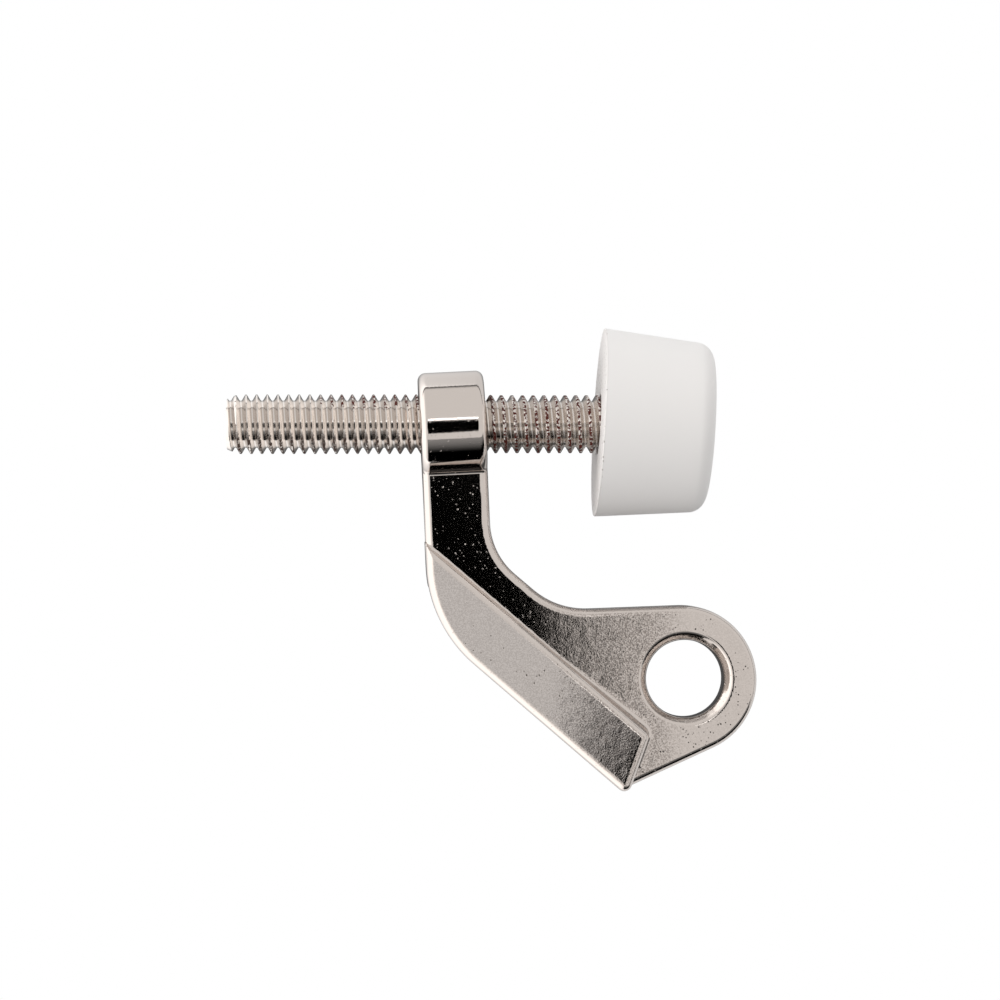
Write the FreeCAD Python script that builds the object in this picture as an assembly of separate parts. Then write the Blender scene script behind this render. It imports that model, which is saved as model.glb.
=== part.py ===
import FreeCAD, Part

import math
import os

# A hinge-pin door stop: a die-cast lever whose eye slips over a door hinge's pin, and a screw
# through the lever's boss that carries a rubber tip.
#
# Millimetres. The origin is the middle of the eye's hole, on its axis. +Z is the hinge pin's axis,
# +X runs along the screw towards the rubber tip, and the screw lies on the +Y side of the pin. The
# casting is symmetric about Z = 0, so the stop fits a left-hand or a right-hand door.

Vector = FreeCAD.Vector
ORIGIN = Vector(0, 0, 0)
ALONG_X = Vector(1, 0, 0)
ALONG_Y = Vector(0, 1, 0)
ALONG_Z = Vector(0, 0, 1)

# Screw thread: 5/16-18 UNC, right-hand
PITCH = 25.4 / 18
MAJOR_R = 3.95
THREAD_DEPTH = 0.83
CREST_WIDTH = 0.19
FLANK_ANGLE = 30  # degrees, each flank from square to the axis
GROOVE_OVERRUN = 0.1  # how far the groove's cutter stands out of the bar

# Screw
SCREW_Y = 33.7  # height of its axis over the hinge pin's
SCREW_LEFT = -60.6
SCREW_LENGTH = 59.8
FIRST_CREST = -58.11  # where a crest crosses the top of the screw
POINT_LENGTH = 1.4  # the end over which the thread fades in
POINT_R = 3.35

# Tapped hole: the screw's thread, grown by its running clearance
TAP_PLAY_R = 0.1
TAP_PLAY_CREST = 0.06
TAP_MOUTH_R = 4.35

# Lever: one plate with an arm, a web and an eye, and a boss across the arm's end
PLATE_HALF = 2.6
EDGE_R = 1.05
ARM_WIDTH = 8.7
ARM_LEAN = 2.8  # degrees between the arm and a line square to the screw
BOSS_CENTRE = Vector(-30.7, SCREW_Y, 0)
BOSS_R = 6.95
EYE_CENTRE = Vector(-0.36, -0.18, 0)
EYE_R = 9.85
PIN_HOLE_R = 5.1
PIN_HOLE_CHAMFER = 1.0
THROAT = Vector(-16.82, 9.07, 0)  # the corner where the web's top edge turns up
THROAT_R = 10.9
ELBOW = Vector(-25.55, 16.45, 0)  # the corner where it turns on into the arm
ELBOW_R = 9.35
HEEL = Vector(-33.79, 6.97, 0)  # the corner between the outer faces of the arm and the wing
HEEL_R = 17.8
TOE_INSET = 0.45  # how far short of the wing's end the web's corner stops

# Wing: the bar along the lever's outer edge, taller towards the eye. Its outer face bears on the door
WING_SLOPE = 40.55  # degrees below the screw's direction
WING_LENGTH = 33.85
WING_WIDTH = 8.0
WING_END_LEAN = 20.3  # degrees between its end face and +Y
WING_TOP_HALF = 4.3  # half its height level with the heel
WING_TOP_RISE = 9.3  # degrees, how its top and bottom flare towards the eye
WING_CORNER_R = 1.0

# Rubber tip: a cone pushed on the end of the screw, a little askew
TIP_BASE = Vector(-11.25, 33.93, 0)
TIP_SKEW = -3.1  # degrees about Z
TIP_BASE_R = 12.5
TIP_FRONT_R = 11.1
TIP_LENGTH = 15.05
TIP_CROWN = 0.7
TIP_EDGE_R = 2.3
SOCKET_PLAY_R = 0.06
SOCKET_PLAY_END = 0.3


def polar(length, degrees):
    """A vector in the XY plane, at an angle from +X."""
    angle = math.radians(degrees)
    return Vector(length * math.cos(angle), length * math.sin(angle), 0)


def rounded_outline(corners):
    """A closed wire through (point, radius) corners, with an arc at each corner that has a radius."""
    arcs = []
    ends = []
    for i, (corner, radius) in enumerate(corners):
        to_last = (corners[i - 1][0] - corner).normalize()
        to_next = (corners[(i + 1) % len(corners)][0] - corner).normalize()
        half_angle = to_last.getAngle(to_next) / 2
        reach = radius / math.tan(half_angle)
        start = corner + to_last * reach
        end = corner + to_next * reach
        if radius:
            inwards = (to_last + to_next).normalize()
            middle = corner + inwards * (radius / math.sin(half_angle) - radius)
            arcs.append(Part.Arc(start, middle, end).toShape())
        ends.append((start, end))
    lines = [Part.makeLine(ends[i - 1][1], ends[i][0]) for i in range(len(ends))]
    return Part.Wire(Part.__sortEdges__(arcs + lines))


def slab(wire, half):
    """The solid inside a flat wire, from -half to +half in Z."""
    face = Part.Face(wire)
    face.translate(ALONG_Z * -half)
    return face.extrude(ALONG_Z * 2 * half)


def turned(outline):
    """The solid made by turning an outline of (x, radius) points and arcs about the X axis."""
    return Part.Face(Part.Wire(outline)).revolve(ORIGIN, ALONG_X, 360)


def tangent_point(outside, centre, radius, side):
    """Where the line from a point outside touches a circle. side is +1 or -1."""
    back = outside - centre
    heading = math.degrees(math.atan2(back.y, back.x))
    return centre + polar(radius, heading + side * math.degrees(math.acos(radius / back.Length)))


def screw_thread(major_r, crest_width, left, length):
    """A bar along the screw's axis with the helical groove cut in it, in step with the screw.

    It covers at least the stretch from left to left + length.
    """
    minor_r = major_r - THREAD_DEPTH
    spread = math.tan(math.radians(FLANK_ANGLE))
    root_half = (PITCH - crest_width) / 2 - THREAD_DEPTH * spread
    mouth_half = root_half + (THREAD_DEPTH + GROOVE_OVERRUN) * spread
    mouth_r = major_r + GROOVE_OVERRUN
    groove = Part.makePolygon(
        [
            Vector(minor_r, 0, -root_half),
            Vector(minor_r, 0, root_half),
            Vector(mouth_r, 0, mouth_half),
            Vector(mouth_r, 0, -mouth_half),
            Vector(minor_r, 0, -root_half),
        ]
    )
    first = math.floor((left - FIRST_CREST) / PITCH)
    turns = math.ceil(length / PITCH) + 1
    helix = Part.makeLongHelix(PITCH, (turns + 2) * PITCH, major_r, 0)
    cutter = Part.Wire(helix.Edges).makePipeShell([groove], True, True)
    # The helix starts a quarter of a turn before the top, and half a pitch lies from groove to crest
    cutter.translate(ALONG_Z * PITCH * -3 / 4)
    bar = Part.makeCylinder(major_r, turns * PITCH).cut(cutter)
    bar.rotate(ORIGIN, ALONG_Y, 90)
    bar.translate(Vector(FIRST_CREST + first * PITCH, SCREW_Y, 0))
    return bar


def threaded_rod():
    """The adjusting screw: a blank with pointed ends, and the thread along all of it."""
    blank = turned(
        Part.makePolygon(
            [
                ORIGIN,
                Vector(0, POINT_R, 0),
                Vector(POINT_LENGTH, MAJOR_R, 0),
                Vector(SCREW_LENGTH - POINT_LENGTH, MAJOR_R, 0),
                Vector(SCREW_LENGTH, POINT_R, 0),
                Vector(SCREW_LENGTH, 0, 0),
                ORIGIN,
            ]
        )
    )
    blank.translate(Vector(SCREW_LEFT, SCREW_Y, 0))
    return screw_thread(MAJOR_R, CREST_WIDTH, SCREW_LEFT, SCREW_LENGTH).common(blank)


def lever_plate():
    """Arm, web and eye as one plate with rounded edges."""
    half_across = polar(ARM_WIDTH / 2, ARM_LEAN)
    toe = HEEL + polar(WING_LENGTH - TOE_INSET, -WING_SLOPE)
    corners = [
        (toe, WING_CORNER_R),
        (tangent_point(toe, EYE_CENTRE, EYE_R, 1), 0),
        (tangent_point(THROAT, EYE_CENTRE, EYE_R, -1), 0),
        (THROAT, THROAT_R),
        (ELBOW, ELBOW_R),
        (BOSS_CENTRE + half_across, 0),
        (BOSS_CENTRE - half_across, 0),
        (HEEL, HEEL_R),
    ]
    eye = Part.makeCylinder(EYE_R, 2 * PLATE_HALF, EYE_CENTRE - ALONG_Z * PLATE_HALF)
    plate = slab(rounded_outline(corners), PLATE_HALF).fuse(eye).removeSplitter()
    return plate.makeFillet(EDGE_R, flat_edges(plate))


def flat_edges(solid):
    """The edges that don't run up and down a plate's walls."""
    return [e for e in solid.Edges if abs(e.tangentAt(e.FirstParameter).z) < 0.5]


def boss():
    """The barrel that the screw runs through, square to the arm."""
    across = polar(1, ARM_LEAN)
    barrel = Part.makeCylinder(BOSS_R, ARM_WIDTH, BOSS_CENTRE - across * (ARM_WIDTH / 2), across)
    rims = [e for e in barrel.Edges if isinstance(e.Curve, Part.Circle)]
    return barrel.makeFillet(EDGE_R, rims)


def wing():
    """The bar whose top and bottom flare towards the eye."""
    arm_angle = 90 + ARM_LEAN
    up_arm = WING_WIDTH / math.sin(math.radians(arm_angle + WING_SLOPE))
    end_angle = 90 - WING_END_LEAN
    up_end = WING_WIDTH / math.sin(math.radians(end_angle + WING_SLOPE))
    tip = HEEL + polar(WING_LENGTH, -WING_SLOPE)
    corners = [
        (HEEL + polar(up_arm, arm_angle), 0),
        (HEEL, HEEL_R),
        (tip, WING_CORNER_R),
        (tip + polar(up_end, end_angle), WING_CORNER_R),
    ]
    flare = math.tan(math.radians(WING_TOP_RISE))
    reach = 2 * WING_LENGTH
    side = Part.makePolygon(
        [
            Vector(-reach, 0, -WING_TOP_HALF + reach * flare),
            Vector(-reach, 0, WING_TOP_HALF - reach * flare),
            Vector(reach, 0, WING_TOP_HALF + reach * flare),
            Vector(reach, 0, -WING_TOP_HALF - reach * flare),
            Vector(-reach, 0, -WING_TOP_HALF + reach * flare),
        ]
    )
    wedge = Part.Face(side).extrude(ALONG_Y * 2 * reach)
    wedge.translate(ALONG_Y * -reach)
    wedge.rotate(ORIGIN, ALONG_Z, -WING_SLOPE)
    wedge.translate(HEEL)
    bar = slab(rounded_outline(corners), WING_LENGTH).common(wedge)
    return bar.makeFillet(EDGE_R, flat_edges(bar))


def bored_eye(body):
    """The body with the hinge pin's hole through its eye, chamfered at both mouths."""
    pin = Part.makeCylinder(PIN_HOLE_R, 4 * PLATE_HALF, ALONG_Z * -2 * PLATE_HALF)
    bored = body.cut(pin)
    girth = 2 * math.pi * PIN_HOLE_R
    mouths = [e for e in bored.Edges if e.Closed and math.isclose(e.Length, girth, rel_tol=1e-4)]
    return bored.makeChamfer(PIN_HOLE_CHAMFER, mouths)


def tapped_hole():
    """What tapping takes out of the boss: the screw's thread with its play, and a cone at each mouth."""
    reach = ARM_WIDTH
    left = BOSS_CENTRE.x - reach
    tap = screw_thread(MAJOR_R + TAP_PLAY_R, CREST_WIDTH + TAP_PLAY_CREST, left, 2 * reach)
    for outwards in (ALONG_X, ALONG_X * -1):
        apex = BOSS_CENTRE + outwards * (ARM_WIDTH / 2 - TAP_MOUTH_R)
        tap = tap.fuse(Part.makeCone(0, reach, reach, apex, outwards))
    return tap


def casting():
    """The die-cast body: lever, boss and wing in one piece, with its two holes."""
    body = lever_plate().fuse([boss(), wing()]).removeSplitter()
    return bored_eye(body).cut(tapped_hole())


def rubber_tip():
    """The bumper: a cone with a crowned, round-edged front, and a blind socket for the screw."""
    front_x = TIP_LENGTH - TIP_CROWN
    crown_r = (TIP_FRONT_R**2 + TIP_CROWN**2) / (2 * TIP_CROWN)
    half_way_x = TIP_LENGTH - crown_r + math.sqrt(crown_r**2 - (TIP_FRONT_R / 2) ** 2)
    base_rim = Vector(0, TIP_BASE_R, 0)
    front_rim = Vector(front_x, TIP_FRONT_R, 0)
    peak = Vector(TIP_LENGTH, 0, 0)
    cone = turned(
        [
            Part.makeLine(ORIGIN, base_rim),
            Part.makeLine(base_rim, front_rim),
            Part.Arc(front_rim, Vector(half_way_x, TIP_FRONT_R / 2, 0), peak).toShape(),
            Part.makeLine(peak, ORIGIN),
        ]
    )
    front_edge = [e for e in cone.Edges if abs(e.BoundBox.XMin - front_x) < 0.01 and e.Closed]
    cone = cone.makeFillet(TIP_EDGE_R, front_edge)
    cone.rotate(ORIGIN, ALONG_Z, TIP_SKEW)
    cone.translate(TIP_BASE)
    mouth_x = TIP_BASE.x - TIP_BASE_R
    socket_end = SCREW_LEFT + SCREW_LENGTH + SOCKET_PLAY_END
    mouth = Vector(mouth_x, SCREW_Y, 0)
    socket = Part.makeCylinder(MAJOR_R + SOCKET_PLAY_R, socket_end - mouth_x, mouth, ALONG_X)
    return cone.cut(socket)


os.makedirs("parts", exist_ok=True)
for make in (casting, threaded_rod, rubber_tip):
    make().Solids[0].exportStep(f"parts/{make.__name__}.step")
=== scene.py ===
import math

import bmesh
import bpy
import numpy as np
import openvdb
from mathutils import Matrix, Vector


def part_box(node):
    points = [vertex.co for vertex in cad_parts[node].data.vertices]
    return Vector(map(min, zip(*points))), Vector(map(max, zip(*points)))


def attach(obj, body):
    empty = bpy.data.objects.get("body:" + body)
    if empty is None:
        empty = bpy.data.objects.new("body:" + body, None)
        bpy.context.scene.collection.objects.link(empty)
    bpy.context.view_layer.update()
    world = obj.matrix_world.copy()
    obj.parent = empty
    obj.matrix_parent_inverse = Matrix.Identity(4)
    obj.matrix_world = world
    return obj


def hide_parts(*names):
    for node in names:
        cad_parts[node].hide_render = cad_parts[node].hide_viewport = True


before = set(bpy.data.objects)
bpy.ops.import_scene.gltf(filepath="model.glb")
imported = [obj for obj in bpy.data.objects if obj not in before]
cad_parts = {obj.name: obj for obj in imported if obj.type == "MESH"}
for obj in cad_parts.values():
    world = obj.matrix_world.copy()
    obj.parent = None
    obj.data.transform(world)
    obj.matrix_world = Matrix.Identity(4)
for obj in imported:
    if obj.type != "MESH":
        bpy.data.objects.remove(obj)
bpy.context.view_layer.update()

# A hinge-pin door stop. Shapes are worked out in millimetres, in the CAD's frame, and meshed in metres.
MM = 0.001

# The sizes down to SOCKET_PLAY_END are the CAD's too, except where a comment says otherwise.
# Screw, and the tapped hole that is its thread grown by some play
PITCH = 25.4 / 18
MAJOR_R = 3.95
THREAD_DEPTH = 0.83
CREST_WIDTH = 0.19
FLANK_ANGLE = 30  # degrees, each flank from square to the axis
SCREW_Y = 33.7
SCREW_LEFT = -60.6
SCREW_LENGTH = 59.8
FIRST_CREST = -58.11  # where a crest crosses the top of the screw
POINT_LENGTH = 1.4  # the end over which the thread fades in
POINT_R = 3.35
TAP_PLAY_R = 0.1
TAP_PLAY_CREST = 0.06
TAP_MOUTH_R = 4.35

# Casting: one plate with an arm, a web and an eye, and a boss across the arm's end
PLATE_HALF = 2.6
EDGE_R = 1.05
ARM_WIDTH = 8.7
ARM_LEAN = 2.8
BOSS_CENTRE = np.array((-30.7, SCREW_Y))
BOSS_R = 6.95
EYE_CENTRE = np.array((-0.36, -0.18))
EYE_R = 9.85
PIN_HOLE_R = 5.1
PIN_HOLE_CHAMFER = 1.0
PIN_HOLE_EDGE_R = 0.25  # not in the CAD
THROAT = np.array((-16.82, 9.07))  # the corner where the web's top edge turns up
THROAT_R = 10.9
ELBOW = np.array((-25.55, 16.45))  # the corner where it turns on into the arm
ELBOW_R = 9.35
HEEL = np.array((-33.79, 6.97))  # the corner between the outer faces of the arm and the wing
HEEL_R = 17.8
TOE_INSET = 0.45  # how far short of the wing's end the web's corner stops

# Wing: the bar along the casting's outer edge, taller towards the eye
WING_SLOPE = 40.55  # degrees below the screw's direction
WING_LENGTH = 33.85
WING_WIDTH = 8.0
WING_END_LEAN = 20.3  # degrees between its end face and +Y
WING_TOP_HALF = 4.3  # half its height level with the heel
WING_TOP_RISE = 9.3  # degrees, how its top and bottom flare towards the eye
WING_CORNER_R = 1.0

# Rubber tip: a cone pushed on the end of the screw, a little askew
TIP_BASE = np.array((-11.25, 33.93))
TIP_SKEW = -3.1  # degrees about Z
TIP_BASE_R = 12.5
TIP_FRONT_R = 11.1
TIP_LENGTH = 15.05
TIP_CROWN = 0.7
TIP_EDGE_R = 2.3
TIP_RIM_R = 0.15  # not in the CAD
SOCKET_PLAY_R = 0.06
SOCKET_PLAY_END = 0.3

# Fillets inside the casting's corners. The wing's grows along it, from the heel to the toe
FOOT_R = 0.3
VALLEY_R = 1.3
VALLEY_START = 14.0
VALLEY_FULL = 30.0
BOSS_FOOT_R = 0.4

# Wear of the thread's crests: none left of the first X, and full right of the second
WEAR_START = -27.0
WEAR_FULL = -24.5
WEAR_R = 0.1

# How finely the pieces are meshed
VOXEL = 0.23
BAND = 3.0  # voxels on each side of a surface that its grid keeps
SLOPE_STEP = 0.06
ARC_STEP = 1.5  # degrees
THREAD_TURN_STEPS = 72
THREAD_PITCH_STEPS = 16
TIP_TURN_STEPS = 160
TIP_SIDE_POINTS = 24
TIP_ARC_POINTS = 16
TIP_RIM_ANGLES = (180, 150, 120)
WELD = 0.0005  # points closer than this are one
SHARP_ANGLE = 35  # degrees, an edge that turns by more stays sharp
CONE_45 = math.sqrt(0.5)  # turns a step across a 45 degree cone into the distance from it

# Materials: a size is that of a pattern's lumps or cells, and a bump is a strength and a depth

# Specks: how far one reaches in its cell, from the smallest to the largest, and the share that is its core
SPECK_REACHES = (0.15, 0.45)
SPECK_CORE = 0.6

# Plating of the casting: each span is from the place where a thing starts to the place where it is full
GRAINED_X = (-24.0, -10.0)
EYE_X = (-5.0, 1.0)
EYE_GRAIN = 0.2  # the share of the grain that the eye keeps
WING_GRAIN = 0.4  # the least that the wing has
WING_FADE = 0.4  # how far past the wing's flat top that fades out
PITTED_Y = (12.0, 6.0)
PATCH_SIZE = 3.0
PATCH_NOISE = (0.42, 0.62)  # the noise at which a pitted patch starts, and is full
PIT_SIZE = 0.33
PIT_SHARES = (0.04, 0.44)  # outside the pitted patches and in them
PIT_BUMP = (0.8, -0.02)
SPARK_SIZE = 0.25
SPARK_SHARE = 0.09
SPARK_BUMP = (0.6, 0.007)
WAVE_SIZE = 1.7
WAVE_STRENGTHS = (0.12, 0.57)  # without grain and with all of it
WAVE_DEPTH = 0.04
GRAIN_SIZE = 0.18
GRAIN_STRENGTHS = (0.2, 0.7)
GRAIN_DEPTH = 0.012
GRAIN_NOISE = (0.6, 0.4)  # the noise at which grain starts to darken, and is darkest
GRAIN_DARKEST = 0.9
FLAT_UP = (0.9, 0.97)  # the upright part of the normal of a face that grain and dirt show on
NICKEL = (0.72, 0.66, 0.62, 1)
NICKEL_DARK = (0.34, 0.30, 0.275, 1)
PIT_BLACK = (0.03, 0.025, 0.02, 1)
NICKEL_ROUGHNESS = 0.06

# Plating of the screw: rusty all round from the first span on, and on top from the second
CREST_DEPTHS = (0.32, 0.12)  # how far under the crests they start to count as crests, and count fully
RUST_ROUND_X = (-30.0, -26.0)
RUST_TOP_X = (-50.0, -46.0)
RUST_TOP_Y = (1.2, 2.6)  # over the screw's axis
BROWN_CREST_Y = (-0.8, -2.2)  # the same, so under it: the span where the crests turn dark brown
RUST_SIZE = 0.35
RUST_LIMITS = (0.68, 0.48)  # the noise above which there is rust, on clean and on rusty stretches
RUST_RISE = 0.03  # how far over its limit the noise is where the rust is full
RUST_BUMP = (0.5, 0.02)
BROWN_CREST_NOISE = (0.4, 0.5)  # the noise at which the crests' dark brown starts, and is full
SCRATCH_SIZE = 0.3
SCRATCH_BUMP = (0.35, 0.01)
SCREW_METAL = (0.74, 0.69, 0.65, 1)
CREST_BROWN = (0.06, 0.035, 0.025, 1)
RUST_RED = (0.085, 0.014, 0.008, 1)
SCREW_ROUGHNESS = (0.15, 0.60)  # clean, and rusty or dark brown
SCREW_SPECULAR = 0.2

# Rubber
BASE_DEPTHS = (0.1, 0.3)  # how deep the base's dirt reaches
MARK_SIZE = 0.5
MARK_SHARE = 0.4
RUBBER_GRAIN_SIZE = 0.5
RUBBER_BUMP = (0.3, 0.01)
RUBBER_WHITE = (0.97, 0.96, 0.955, 1)
RUBBER_BASE = (0.87, 0.85, 0.84, 1)
RUBBER_MARK = (0.55, 0.52, 0.5, 1)
RUBBER_ROUGHNESS = 0.55

# The camera looks straight down, and its shift brings the stop into view
CAMERA_AT = (-37.0, 17.0, 400.0)
VIEW_CENTRE = (-24.38, 23.64)
VIEW_WIDTH = 132.8
CAMERA_SENSOR = 36.0

# The studio's floor, and the table just over it that only the metal sees
STUDIO_R = 1500.0
TABLE_Z = -15.3
FLOOR_DROP = 0.5
FLOOR_LIGHT = 1.0
TABLE_GREY = 0.8
TABLE_WHITE = 1.5
TABLE_WHITE_X = (-20.0, -90.0)
TABLE_SHADE = 0.9
TABLE_SHADE_REACH = 9.0
TABLE_NEAR = 140.0  # the half of the finely divided square, which holds the shade
TABLE_STEP = 2.0
TABLE_FAR = 400.0

# The studio's walls, by direction: white on the left, and dark low down on the tip's side
WALL_GREY = 0.8
WALL_WHITE = 1.6
WALL_WHITE_X = (-0.3, -0.75)
WALL_DARK = 0.92
WALL_DARK_Z = (0.14, 0.0)
WALL_DARK_SIDE = (0.65, 0.76, 0.0)
WALL_DARK_SPAN = (-0.1, 0.3)
WALL_TINT = (1.0, 0.98, 0.96, 1.0)

# Level ellipses round the camera: name, shift from it, radii, light, and height over it
ROUND_CAMERA = (
    ("lens_black", (-8.0, -40.0), (58.0, 104.0), 0.0, 3.0),
    ("strip_white", (12.0, 84.0), (38.0, 14.0), 2.5, 3.0),
    ("card_grey", (-95.0, 60.0), (55.0, 62.0), 0.72, 6.0),
)
DISC_POINTS = 96

# The flag: part of a drum along X, black low down and grey near the camera
FLAG_R = 500.0
FLAG_TOP = 33.0  # degrees from straight up, where it starts
FLAG_SHIFT = 25.0  # its middle line's Y
FLAG_ENDS = (-150.0, 1100.0)
FLAG_POINTS = 30
FLAG_GREY = 0.30
FLAG_GREY_Z = (210.0, 450.0)


def polar(length, degrees):
    """A point in the XY plane, by its distance and its angle from +X."""
    return length * np.array((math.cos(math.radians(degrees)), math.sin(math.radians(degrees))))


def unit(vector):
    """The vector made 1 long."""
    return vector / np.linalg.norm(vector)


# ---- distances: every shape is a function that is negative inside, and grows by the distance outside


def rounded_outline(corners):
    """The points round a closed outline of (point, radius) corners, with an arc at each corner."""
    points = []
    for i, (corner, radius) in enumerate(corners):
        if radius == 0:
            points.append(corner)
            continue
        to_last = unit(corners[i - 1][0] - corner)
        to_next = unit(corners[(i + 1) % len(corners)][0] - corner)
        half_angle = math.acos(np.dot(to_last, to_next)) / 2
        centre = corner + unit(to_last + to_next) * radius / math.sin(half_angle)
        first = corner + to_last * radius / math.tan(half_angle) - centre
        last = corner + to_next * radius / math.tan(half_angle) - centre
        start = math.degrees(math.atan2(first[1], first[0]))
        turn = math.degrees(math.atan2(first[0] * last[1] - first[1] * last[0], np.dot(first, last)))
        for angle in np.linspace(start, start + turn, math.ceil(abs(turn) / ARC_STEP) + 1):
            points.append(centre + polar(radius, angle))
    return np.array(points)


def outline_distance(x, y, outline):
    """How far (x, y) is outside a closed outline."""
    nearest = np.inf
    inside = False
    for (ax, ay), (bx, by) in zip(outline, np.roll(outline, -1, axis=0)):
        side_x, side_y = bx - ax, by - ay
        along = ((x - ax) * side_x + (y - ay) * side_y) / (side_x**2 + side_y**2)
        along = np.clip(along, 0, 1)
        nearest = np.minimum(nearest, (x - ax - along * side_x) ** 2 + (y - ay - along * side_y) ** 2)
        if ay != by:
            inside = inside ^ (((ay > y) != (by > y)) & (x < ax + (y - ay) * side_x / side_y))
    return np.where(inside, -1, 1) * np.sqrt(nearest)


def meet(a, b, radius):
    """The part inside both shapes, with the edge where they meet rounded."""
    outside = np.hypot(np.maximum(a + radius, 0), np.maximum(b + radius, 0))
    return outside + np.minimum(np.maximum(a, b) + radius, 0) - radius


def join(a, b, radius):
    """Both shapes, with a fillet where they meet."""
    inside = np.hypot(np.maximum(radius - a, 0), np.maximum(radius - b, 0))
    return np.maximum(np.minimum(a, b), radius) - inside


def smooth_step(value, low, high):
    """0 below low, 1 above high, and a smooth rise between."""
    share = np.clip((value - low) / (high - low), 0, 1)
    return share * share * (3 - 2 * share)


def seen_from(origin, degrees, x, y):
    """(x, y) as distances from an origin, along a direction and to the left of it."""
    along_x, along_y = polar(1, degrees)
    from_x, from_y = x - origin[0], y - origin[1]
    return from_x * along_x + from_y * along_y, from_y * along_x - from_x * along_y


def tangent_point(outside, centre, radius, side):
    """Where the line from a point outside touches a circle. side is +1 or -1."""
    back = outside - centre
    heading = math.degrees(math.atan2(back[1], back[0]))
    return centre + polar(radius, heading + side * math.degrees(math.acos(radius / np.linalg.norm(back))))


def thread_radius(x, angle, major_r, crest_width):
    """The thread's radius where a screw's surface is at x along its axis and at an angle round it."""
    from_first = x - FIRST_CREST - PITCH * angle / math.tau
    from_crest = np.abs((from_first + PITCH / 2) % PITCH - PITCH / 2)
    drop = (from_crest - crest_width / 2) / math.tan(math.radians(FLANK_ANGLE))
    return major_r - np.clip(drop, 0, THREAD_DEPTH)


def plate_outline():
    """Arm and web, seen from above."""
    half_across = polar(ARM_WIDTH / 2, ARM_LEAN)
    toe = HEEL + polar(WING_LENGTH - TOE_INSET, -WING_SLOPE)
    return rounded_outline(
        [
            (toe, WING_CORNER_R),
            (tangent_point(toe, EYE_CENTRE, EYE_R, 1), 0),
            (tangent_point(THROAT, EYE_CENTRE, EYE_R, -1), 0),
            (THROAT, THROAT_R),
            (ELBOW, ELBOW_R),
            (BOSS_CENTRE + half_across, 0),
            (BOSS_CENTRE - half_across, 0),
            (HEEL, HEEL_R),
        ]
    )


def wing_outline():
    """The wing, seen from above: its two long edges are parallel, and its ends lean."""
    arm_angle = 90 + ARM_LEAN
    up_arm = WING_WIDTH / math.sin(math.radians(arm_angle + WING_SLOPE))
    end_angle = 90 - WING_END_LEAN
    up_end = WING_WIDTH / math.sin(math.radians(end_angle + WING_SLOPE))
    tip = HEEL + polar(WING_LENGTH, -WING_SLOPE)
    return rounded_outline(
        [
            (HEEL + polar(up_arm, arm_angle), 0),
            (HEEL, HEEL_R),
            (tip, WING_CORNER_R),
            (tip + polar(up_end, end_angle), WING_CORNER_R),
        ]
    )


def boss_distance(x, y, z):
    """The barrel that the screw runs through."""
    along, sideways = seen_from(BOSS_CENTRE, ARM_LEAN, x, y)
    return meet(np.hypot(sideways, z) - BOSS_R, np.abs(along) - ARM_WIDTH / 2, EDGE_R)


def tapped_hole_distance(x, y, z):
    """The threaded hole through the boss, and the cone at each of its mouths."""
    height = y - SCREW_Y
    radius = np.hypot(height, z)
    thread = thread_radius(x, np.arctan2(z, height), MAJOR_R + TAP_PLAY_R, CREST_WIDTH + TAP_PLAY_CREST)
    hole = (radius - thread) * math.cos(math.radians(FLANK_ANGLE))
    from_mouth = ARM_WIDTH / 2 - np.abs(x - BOSS_CENTRE[0])
    mouth = (radius - TAP_MOUTH_R + np.maximum(from_mouth, -EDGE_R)) * CONE_45
    return np.minimum(hole, mouth)


def plate_plan_distance(x, y):
    """Arm, web and eye, seen from above."""
    eye = np.hypot(x - EYE_CENTRE[0], y - EYE_CENTRE[1]) - EYE_R
    return np.minimum(outline_distance(x, y, plate_outline()), eye)


def wing_distance(x, y, z):
    """The bar that bears on the door."""
    along = seen_from(HEEL, -WING_SLOPE, x, y)[0]
    rise = math.radians(WING_TOP_RISE)
    over_top = (np.abs(z) - WING_TOP_HALF - along * math.tan(rise)) * math.cos(rise)
    return meet(outline_distance(x, y, wing_outline()), over_top, EDGE_R)


def round_pin_hole_distance(x, y, z):
    """All the space round the hinge pin's hole and its chamfers."""
    into_hole = PIN_HOLE_R - np.hypot(x, y)
    down = PLATE_HALF - np.minimum(np.abs(z), PLATE_HALF + PIN_HOLE_EDGE_R)
    past_chamfer = (into_hole + PIN_HOLE_CHAMFER - down) * CONE_45
    return meet(into_hole, past_chamfer, PIN_HOLE_EDGE_R)


def casting_distance(x, y, z):
    """The die-cast body: plate, wing and boss run together, less the two holes."""
    plate = meet(plate_plan_distance(x, y), np.abs(z) - PLATE_HALF, EDGE_R)
    along, inwards = seen_from(HEEL, -WING_SLOPE, x, y)
    foot_r = FOOT_R + (VALLEY_R - FOOT_R) * smooth_step(along, VALLEY_START, VALLEY_FULL)
    # The fillets stay off the walls that the plate shares with the wing and with the boss
    web = np.maximum(plate, WING_WIDTH / 2 - inwards)
    body = np.minimum(plate, join(web, wing_distance(x, y, z), foot_r))
    across = seen_from(BOSS_CENTRE, ARM_LEAN, x, y)[0]
    arm = np.maximum(body, np.abs(across) - ARM_WIDTH / 2 + BOSS_FOOT_R)
    body = np.minimum(body, join(arm, boss_distance(x, y, z), BOSS_FOOT_R))
    body = meet(body, round_pin_hole_distance(x, y, z), PIN_HOLE_EDGE_R)
    return np.maximum(body, -tapped_hole_distance(x, y, z))


# ---- meshes


def slope(distance, points):
    """The distance at each point, and the direction in which it grows."""
    here = distance(*points.T)
    steps = SLOPE_STEP * np.eye(3)
    ahead = [distance(*(points + step).T) for step in steps]
    behind = [distance(*(points - step).T) for step in steps]
    growth = (np.array(ahead) - np.array(behind)).T
    return here, growth / np.linalg.norm(growth, axis=1, keepdims=True)


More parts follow.
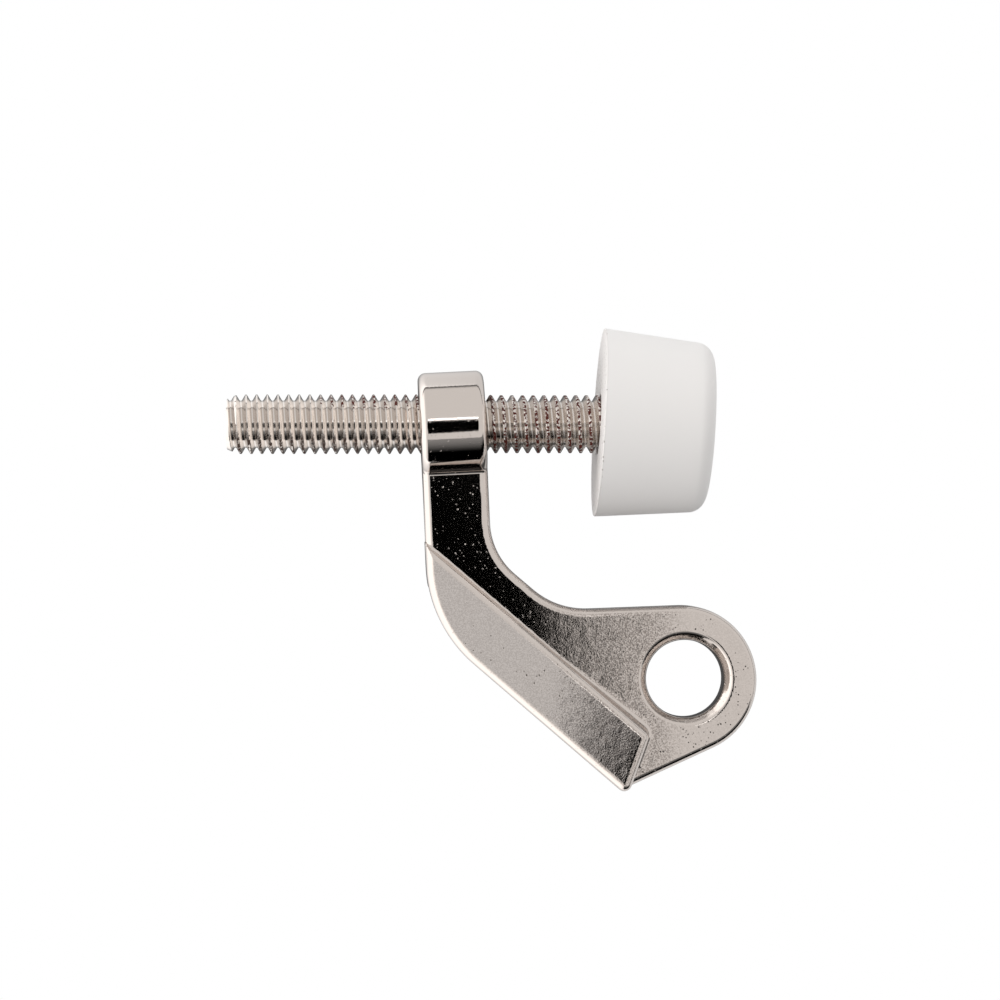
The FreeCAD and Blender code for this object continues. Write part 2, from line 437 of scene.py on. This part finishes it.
def piece(name, points, faces):
    """A smooth-shaded mesh object from points in millimetres."""
    mesh = bpy.data.meshes.new(name)
    mesh.from_pydata((points * MM).tolist(), [], faces.tolist())
    mesh.shade_smooth()
    made = bpy.data.objects.new(name, mesh)
    bpy.context.scene.collection.objects.link(made)
    return made


def meshed(name, distance, low, high):
    """A piece from its distance function, in the box from low to high."""
    counts = np.ceil((np.array(high) - low) / VOXEL).astype(int) + 1
    x, y, z = (low[i] + VOXEL * np.arange(counts[i]) for i in range(3))
    field = distance(x[:, None, None], y[None, :, None], z[None, None, :]) / VOXEL
    grid = openvdb.FloatGrid(background=BAND)
    grid.copyFromArray(np.clip(field, -BAND, BAND).astype(np.float32))
    points, faces = grid.convertToQuads(isovalue=0.0)
    points = np.array(low) + VOXEL * points.astype(float)
    here, outwards = slope(distance, points)
    points = points - outwards * np.clip(here, -VOXEL / 2, VOXEL / 2)[:, None]
    made = piece(name, points, faces)
    made.data.normals_split_custom_set_from_vertices(slope(distance, points)[1].tolist())
    return made


def casting():
    """The die-cast body's mesh, in the CAD's box with room for its grid's band."""
    low, high = (np.array(corner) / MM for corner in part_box("casting"))
    margin = BAND * VOXEL
    return meshed("casting_body", casting_distance, low - margin, high + margin)


def turned(name, points):
    """A piece from rings of points. The first ring and the last are each drawn together in one point."""
    rows, columns = points.shape[:2]
    index = np.arange(rows * columns).reshape(rows, columns)
    faces = np.stack([index[:-1, :-1], index[:-1, 1:], index[1:, 1:], index[1:, :-1]], axis=-1)
    made = piece(name, points.reshape(-1, 3), faces.reshape(-1, 4))
    mesh = bmesh.new()
    mesh.from_mesh(made.data)
    bmesh.ops.remove_doubles(mesh, verts=mesh.verts, dist=WELD * MM)
    bmesh.ops.recalc_face_normals(mesh, faces=mesh.faces)
    mesh.to_mesh(made.data)
    mesh.free()
    made.data.set_sharp_from_angle(angle=math.radians(SHARP_ANGLE))
    return made


def threaded_rod():
    """The screw: rings of points that climb with the thread."""
    steps = np.arange(-THREAD_PITCH_STEPS, (SCREW_LENGTH / PITCH + 2) * THREAD_PITCH_STEPS)[:, None]
    turns = np.arange(THREAD_TURN_STEPS + 1)[None, :] / THREAD_TURN_STEPS
    first = FIRST_CREST + PITCH * math.floor((SCREW_LEFT - FIRST_CREST) / PITCH)
    x = first + PITCH * (steps / THREAD_PITCH_STEPS + turns)
    x = np.clip(x, SCREW_LEFT, SCREW_LEFT + SCREW_LENGTH)
    angle = math.tau * turns + 0 * x
    from_end = np.minimum(x - SCREW_LEFT, SCREW_LEFT + SCREW_LENGTH - x)
    taper = POINT_R + (MAJOR_R - POINT_R) * from_end / POINT_LENGTH
    worn = smooth_step(x, WEAR_START, WEAR_FULL)
    worn_width = 2 * WEAR_R * math.tan(math.radians(FLANK_ANGLE))
    thread = thread_radius(x, angle, MAJOR_R - WEAR_R * worn, CREST_WIDTH + worn_width * worn)
    radius = np.minimum(thread, taper)
    radius[[0, -1]] = 0
    points = np.stack([x, SCREW_Y + radius * np.cos(angle), radius * np.sin(angle)], axis=-1)
    return turned("threaded_rod_body", points)


def tip_outline():
    """The rubber tip's outline from its base to the middle of its front, as (along its axis, radius)."""
    lean = math.atan2(TIP_BASE_R - TIP_FRONT_R, TIP_LENGTH - TIP_CROWN)
    crown_r = (TIP_FRONT_R**2 + TIP_CROWN**2) / (2 * TIP_CROWN)
    crown_lean = math.asin(TIP_FRONT_R / crown_r)
    rim_centre = np.array((TIP_RIM_R, TIP_BASE_R - TIP_RIM_R))
    rim = [rim_centre + polar(TIP_RIM_R, angle) for angle in TIP_RIM_ANGLES]
    # The front edge's arc turns from the cone's slope to the crown's
    turn = (math.pi / 2 - lean - crown_lean) / 2
    corner = np.array((TIP_LENGTH - TIP_CROWN, TIP_FRONT_R))
    start = corner - TIP_EDGE_R * math.tan(turn) * np.array((math.cos(lean), -math.sin(lean)))
    centre = start - TIP_EDGE_R * np.array((math.sin(lean), math.cos(lean)))
    base = np.array((TIP_RIM_R, TIP_BASE_R - TIP_RIM_R * math.tan(lean)))
    side = [base + share * (start - base) for share in np.linspace(0, 1, TIP_SIDE_POINTS) ** 2]
    angles = np.degrees(np.linspace(math.pi / 2 - lean, crown_lean, TIP_ARC_POINTS))[1:]
    edge = [centre + polar(TIP_EDGE_R, angle) for angle in angles]
    outs = np.linspace(edge[-1][1], 0, TIP_ARC_POINTS)[1:]
    crown = [(TIP_LENGTH - crown_r + math.sqrt(crown_r**2 - out**2), out) for out in outs]
    return rim + side + edge + crown


def rubber_tip():
    """The bumper: its outline turned about its own axis, and the socket turned about the screw's."""
    angle = math.tau * np.arange(TIP_TURN_STEPS + 1) / TIP_TURN_STEPS
    socket_r = MAJOR_R + SOCKET_PLAY_R
    socket_end = SCREW_LEFT + SCREW_LENGTH + SOCKET_PLAY_END
    rings = []
    for radius in (0, socket_r):
        rings.append((socket_end + 0 * angle, SCREW_Y + radius * np.cos(angle), radius * np.sin(angle)))
    mouth_y = SCREW_Y + socket_r * np.cos(angle)
    mouth_x = TIP_BASE[0] - (mouth_y - TIP_BASE[1]) * math.tan(math.radians(TIP_SKEW))
    rings.append((mouth_x, mouth_y, socket_r * np.sin(angle)))
    along_x, along_y = polar(1, TIP_SKEW)
    for along, radius in tip_outline():
        out = radius * np.cos(angle)
        x = TIP_BASE[0] + along * along_x - out * along_y
        rings.append((x, TIP_BASE[1] + along * along_y + out * along_x, radius * np.sin(angle)))
    return turned("rubber_tip_body", np.array(rings).transpose(0, 2, 1))


# ---- materials


def node(tree, kind, inputs=None, **settings):
    """A new shader node. Each input is a value or another node's output."""
    made = tree.nodes.new("ShaderNode" + kind)
    for name, value in settings.items():
        setattr(made, name, value)
    for key, value in (inputs or {}).items():
        if isinstance(value, bpy.types.NodeSocket):
            tree.links.new(value, made.inputs[key])
        else:
            made.inputs[key].default_value = value
    return made


def material(name):
    """A new material with only its Principled shader, as (material, tree, shader)."""
    made = bpy.data.materials.new(name)
    made.use_nodes = True
    return made, made.node_tree, made.node_tree.nodes["Principled BSDF"]


def ramp(tree, value, low, high, start=0.0, end=1.0):
    """start where a value is below low, end where it is above high, and a smooth run between."""
    inputs = {"Value": value, "From Min": low, "From Max": high, "To Min": start, "To Max": end}
    return node(tree, "MapRange", inputs, interpolation_type="SMOOTHSTEP").outputs["Result"]


def place_ramp(tree, place, span, start=0.0, end=1.0):
    """A ramp over a span of a place, in millimetres."""
    return ramp(tree, place, span[0] * MM, span[1] * MM, start, end)


def maths(tree, operation, a, b=0.0, c=0.0):
    """A Math node's result from up to three values."""
    return node(tree, "Math", {0: a, 1: b, 2: c}, operation=operation).outputs["Value"]


def times(tree, first, *others):
    """The product of values."""
    for other in others:
        first = maths(tree, "MULTIPLY", first, other)
    return first


def between(tree, share, low, high):
    """low where a share is 0, high where it is 1, and in proportion between."""
    return maths(tree, "MULTIPLY_ADD", share, high - low, low)


def noise(tree, where, size, detail=3.0):
    """Noise with lumps of about a size in millimetres, from 0 to 1."""
    inputs = {"Vector": where, "Scale": 1 / (size * MM), "Detail": detail}
    return node(tree, "TexNoise", inputs).outputs["Fac"]


def specks(tree, where, size, share):
    """Round specks, 1 in the middle: a share of the cells of a pattern with a size in millimetres."""
    cells = node(tree, "TexVoronoi", {"Vector": where, "Scale": 1 / (size * MM)})
    dice = node(tree, "SeparateColor", {0: cells.outputs["Color"]})
    chosen = maths(tree, "LESS_THAN", dice.outputs["Red"], share)
    reach = between(tree, dice.outputs["Green"], *SPECK_REACHES)
    near = maths(tree, "DIVIDE", cells.outputs["Distance"], reach)
    return times(tree, chosen, ramp(tree, near, SPECK_CORE, 1.0, 1.0, 0.0))


def blend(tree, share, first, second):
    """A colour between two."""
    mixed = node(tree, "Mix", {0: share, 6: first, 7: second}, data_type="RGBA")
    return mixed.outputs[2]


def bumped(tree, shader, heights):
    """Bumps, each a (height, strength, depth in millimetres), one on top of another."""
    normal = None
    for height, strength, depth in heights:
        inputs = {"Height": height, "Strength": strength, "Distance": depth * MM}
        if normal is not None:
            inputs["Normal"] = normal
        normal = node(tree, "Bump", inputs).outputs["Normal"]
    tree.links.new(normal, shader.inputs["Normal"])


def wing_share(tree, where):
    """1 on the wing's side of the line that ends its flat top, and 0 over the web."""
    inwards = polar(1, 90 - WING_SLOPE)
    edge_at = np.dot(HEEL, inwards) + WING_WIDTH - EDGE_R
    inputs = {0: where, 1: (*inwards, 0.0)}
    across = node(tree, "VectorMath", inputs, operation="DOT_PRODUCT").outputs["Value"]
    return place_ramp(tree, across, (edge_at + WING_FADE, edge_at))


def flat_share(tree):
    """1 on faces that look straight up or down, and 0 on slopes and walls."""
    upright = node(tree, "SeparateXYZ", {0: node(tree, "NewGeometry").outputs["Normal"]}).outputs["Z"]
    return ramp(tree, maths(tree, "ABSOLUTE", upright), *FLAT_UP)


def plated_casting():
    """Bright nickel: a mirror on the arm, grained and pitted towards the eye."""
    made, tree, shader = material("plated_casting")
    where = node(tree, "TexCoord").outputs["Object"]
    place = node(tree, "SeparateXYZ", {0: where}).outputs
    to_eye = place_ramp(tree, place["X"], GRAINED_X)
    eye_grain = between(tree, place_ramp(tree, place["X"], EYE_X), 1.0, EYE_GRAIN)
    wing_grain = times(tree, wing_share(tree, where), WING_GRAIN)
    grained = maths(tree, "MAXIMUM", times(tree, to_eye, eye_grain), wing_grain)
    grain = noise(tree, where, GRAIN_SIZE, 4.0)
    low = place_ramp(tree, place["Y"], PITTED_Y)
    patches = ramp(tree, noise(tree, where, PATCH_SIZE, 2.0), *PATCH_NOISE)
    pits = specks(tree, where, PIT_SIZE, between(tree, times(tree, to_eye, low, patches), *PIT_SHARES))
    sparks = specks(tree, where, SPARK_SIZE, SPARK_SHARE)
    bumped(tree, shader, (
        (noise(tree, where, WAVE_SIZE), between(tree, grained, *WAVE_STRENGTHS), WAVE_DEPTH),
        (grain, between(tree, grained, *GRAIN_STRENGTHS), GRAIN_DEPTH),
        (sparks, *SPARK_BUMP),
        (pits, *PIT_BUMP),
    ))
    on_flat = flat_share(tree)
    worn = times(tree, ramp(tree, grain, *GRAIN_NOISE, 0.0, GRAIN_DARKEST), grained, on_flat)
    colour = blend(tree, worn, NICKEL, NICKEL_DARK)
    colour = blend(tree, times(tree, pits, low, on_flat), colour, PIT_BLACK)
    tree.links.new(colour, shader.inputs["Base Color"])
    shader.inputs["Metallic"].default_value = 1.0
    shader.inputs["Roughness"].default_value = NICKEL_ROUGHNESS
    return made


def plated_screw():
    """Duller plating, with rust along the crests of the thread."""
    made, tree, shader = material("plated_screw")
    where = node(tree, "TexCoord").outputs["Object"]
    place = node(tree, "SeparateXYZ", {0: where}).outputs
    height = maths(tree, "SUBTRACT", place["Y"], SCREW_Y * MM)
    squares = maths(tree, "MULTIPLY_ADD", height, height, times(tree, place["Z"], place["Z"]))
    from_axis = maths(tree, "SQRT", squares)
    on_crest = place_ramp(tree, from_axis, (MAJOR_R - CREST_DEPTHS[0], MAJOR_R - CREST_DEPTHS[1]))
    on_top = times(tree, place_ramp(tree, place["X"], RUST_TOP_X), place_ramp(tree, height, RUST_TOP_Y))
    rusty = maths(tree, "MAXIMUM", place_ramp(tree, place["X"], RUST_ROUND_X), on_top)
    spots = noise(tree, where, RUST_SIZE)
    over = maths(tree, "SUBTRACT", spots, between(tree, rusty, *RUST_LIMITS))
    rust = times(tree, on_crest, ramp(tree, over, 0.0, RUST_RISE))
    # Dark brown, matt and unmetallic, on the crests under the screw's axis, in patches of the rust's noise
    brown_crests = times(tree, on_crest, place_ramp(tree, height, BROWN_CREST_Y), ramp(tree, spots, *BROWN_CREST_NOISE))
    clean = blend(tree, brown_crests, SCREW_METAL, CREST_BROWN)
    tree.links.new(blend(tree, rust, clean, RUST_RED), shader.inputs["Base Color"])
    dull = maths(tree, "MAXIMUM", rust, brown_crests)
    tree.links.new(maths(tree, "SUBTRACT", 1.0, dull), shader.inputs["Metallic"])
    tree.links.new(between(tree, dull, *SCREW_ROUGHNESS), shader.inputs["Roughness"])
    shader.inputs["Specular IOR Level"].default_value = SCREW_SPECULAR
    bumped(tree, shader, ((noise(tree, where, SCRATCH_SIZE), *SCRATCH_BUMP), (rust, *RUST_BUMP)))
    return made


def white_rubber():
    """Matt white rubber, with a dirtier, speckled base."""
    made, tree, shader = material("white_rubber")
    where = node(tree, "TexCoord").outputs["Object"]
    place = node(tree, "SeparateXYZ", {0: where}).outputs
    lean = math.tan(math.radians(TIP_SKEW))
    along = maths(tree, "MULTIPLY_ADD", place["Y"], lean, place["X"])
    base_at = TIP_BASE[0] + TIP_BASE[1] * lean
    at_base = place_ramp(tree, along, (base_at + BASE_DEPTHS[0], base_at + BASE_DEPTHS[1]), 1.0, 0.0)
    marks = times(tree, specks(tree, where, MARK_SIZE, MARK_SHARE), at_base)
    plain = blend(tree, at_base, RUBBER_WHITE, RUBBER_BASE)
    tree.links.new(blend(tree, marks, plain, RUBBER_MARK), shader.inputs["Base Color"])
    shader.inputs["Roughness"].default_value = RUBBER_ROUGHNESS
    bumped(tree, shader, ((noise(tree, where, RUBBER_GRAIN_SIZE), *RUBBER_BUMP),))
    return made


# ---- studio


def glow(name, strength):
    """A material that only gives out light. strength is a value, or a function that adds nodes for it."""
    made, tree, shader = material(name)
    shader.inputs["Base Color"].default_value = (0, 0, 0, 1)
    shader.inputs["Specular IOR Level"].default_value = 0.0
    shader.inputs["Emission Color"].default_value = (1, 1, 1, 1)
    if callable(strength):
        tree.links.new(strength(tree), shader.inputs["Emission Strength"])
    else:
        shader.inputs["Emission Strength"].default_value = strength
    return made


def studio_piece(name, points, faces, made_of):
    """A piece that isn't part of the object."""
    made = piece(name, points, faces)
    made.data.materials.append(made_of)
    return made


def disc(name, centre, radii, made_of):
    """A level ellipse in the studio."""
    angles = math.tau * np.arange(DISC_POINTS) / DISC_POINTS
    rim = np.stack([radii[0] * np.cos(angles), radii[1] * np.sin(angles), 0 * angles], axis=-1)
    return studio_piece(name, rim + centre, np.arange(DISC_POINTS)[None, :], made_of)


def position(tree):
    """A shaded point's X, Y and Z in the scene."""
    return node(tree, "SeparateXYZ", {0: node(tree, "NewGeometry").outputs["Position"]}).outputs


def flag_light(tree):
    """How bright the flag is: grey near the camera, and black from half way down."""
    return place_ramp(tree, position(tree)["Z"], FLAG_GREY_Z, 0.0, FLAG_GREY)


def flag():
    """A curved dark board on the eye's side, which the lower half of every round shape reflects."""
    angles = np.radians(np.linspace(FLAG_TOP, 90, FLAG_POINTS))
    y = FLAG_SHIFT - FLAG_R * np.sin(angles)
    z = FLAG_R * np.cos(angles)
    rows = [np.stack([0 * y + x, y, z], axis=-1) for x in FLAG_ENDS]
    index = np.arange(FLAG_POINTS - 1)
    faces = np.stack([index, index + 1, index + 1 + FLAG_POINTS, index + FLAG_POINTS], axis=-1)
    made = studio_piece("flag", np.concatenate(rows), faces, glow("flag_black", flag_light))
    made.visible_camera = False


def wall_light(tree):
    """How bright the walls are: white on the left, dark low down on the tip's side, else light grey."""
    towards = node(tree, "TexCoord").outputs["Generated"]
    apart = node(tree, "SeparateXYZ", {0: towards}).outputs
    light = ramp(tree, apart["X"], *WALL_WHITE_X, WALL_GREY, WALL_WHITE)
    low = ramp(tree, apart["Z"], *WALL_DARK_Z, 0.0, WALL_DARK)
    side = node(tree, "VectorMath", {0: towards, 1: WALL_DARK_SIDE}, operation="DOT_PRODUCT")
    dark = times(tree, low, ramp(tree, side.outputs["Value"], *WALL_DARK_SPAN))
    return times(tree, light, maths(tree, "SUBTRACT", 1.0, dark))


def table_light(tree):
    """How bright the table is: white on the left, and dark in the stop's own shade."""
    shade = node(tree, "Attribute", attribute_name="shade").outputs["Fac"]
    light = place_ramp(tree, position(tree)["X"], TABLE_WHITE_X, TABLE_GREY, TABLE_WHITE)
    return times(tree, light, maths(tree, "SUBTRACT", 1.0, shade))


def table():
    """What the metal mirrors instead of the floor, with the stop's shade as an attribute of its points."""
    near = np.arange(-TABLE_NEAR, TABLE_NEAR + TABLE_STEP / 2, TABLE_STEP)
    across = np.concatenate([[-STUDIO_R, -TABLE_FAR], near, [TABLE_FAR, STUDIO_R]])
    x, y = np.meshgrid(VIEW_CENTRE[0] + across, VIEW_CENTRE[1] + across, indexing="ij")
    index = np.arange(x.size).reshape(x.shape)
    faces = np.stack([index[:-1, :-1], index[1:, :-1], index[1:, 1:], index[:-1, 1:]], axis=-1)
    points = np.stack([x, y, 0 * x + TABLE_Z], axis=-1).reshape(-1, 3)
    made = studio_piece("table", points, faces.reshape(-1, 4), glow("table_grey", table_light))
    plate = np.minimum(outline_distance(x, y, plate_outline()), np.hypot(x, y) - EYE_R)
    bar = np.hypot(x - np.clip(x, SCREW_LEFT, 0), y - SCREW_Y) - MAJOR_R
    away = np.maximum(np.minimum(plate, bar), 0)
    shade = made.data.attributes.new("shade", "FLOAT", "POINT")
    shade.data.foreach_set("value", (TABLE_SHADE * np.exp(-((away / TABLE_SHADE_REACH) ** 2))).ravel())
    made.visible_camera = False


def studio():
    """The floor, the world's walls, and what only the metal sees."""
    centre = (0, 0, TABLE_Z - FLOOR_DROP)
    floor = disc("floor", centre, (STUDIO_R, STUDIO_R), glow("white_floor", FLOOR_LIGHT))
    floor.visible_glossy = False
    table()
    for name, shift, radii, light, gap in ROUND_CAMERA:
        at = (CAMERA_AT[0] + shift[0], CAMERA_AT[1] + shift[1], CAMERA_AT[2] + gap)
        disc(name, at, radii, glow(name, light)).visible_camera = False
    flag()
    world = bpy.data.worlds.new("studio")
    world.use_nodes = True
    background = world.node_tree.nodes["Background"]
    background.inputs["Color"].default_value = WALL_TINT
    world.node_tree.links.new(wall_light(world.node_tree), background.inputs["Strength"])
    bpy.context.scene.world = world


def camera():
    """The camera: its view at Z = 0 is VIEW_WIDTH across."""
    data = bpy.data.cameras.new("camera")
    data.lens = CAMERA_SENSOR * CAMERA_AT[2] / VIEW_WIDTH
    data.sensor_width = CAMERA_SENSOR
    data.shift_x = (VIEW_CENTRE[0] - CAMERA_AT[0]) / VIEW_WIDTH
    data.shift_y = (VIEW_CENTRE[1] - CAMERA_AT[1]) / VIEW_WIDTH
    made = bpy.data.objects.new("camera", data)
    made.location = [MM * place for place in CAMERA_AT]
    bpy.context.scene.collection.objects.link(made)
    bpy.context.scene.camera = made


# ---- the scene

# Mesh, material, CAD node that the piece stands for, body that it rides on, and its slot
PIECES = (
    (casting, plated_casting, "casting", "lever", "plated_casting"),
    (threaded_rod, plated_screw, "threaded_rod", "screw", "plated_screw"),
    (rubber_tip, white_rubber, "rubber_tip", "tip", "white_rubber"),
)
for make_mesh, make_material, cad_node, body, slot in PIECES:
    made = make_mesh()
    made.data.materials.append(make_material())
    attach(made, body)
    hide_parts(cad_node)
camera()
studio()
bpy.context.scene.view_settings.view_transform = "Standard"
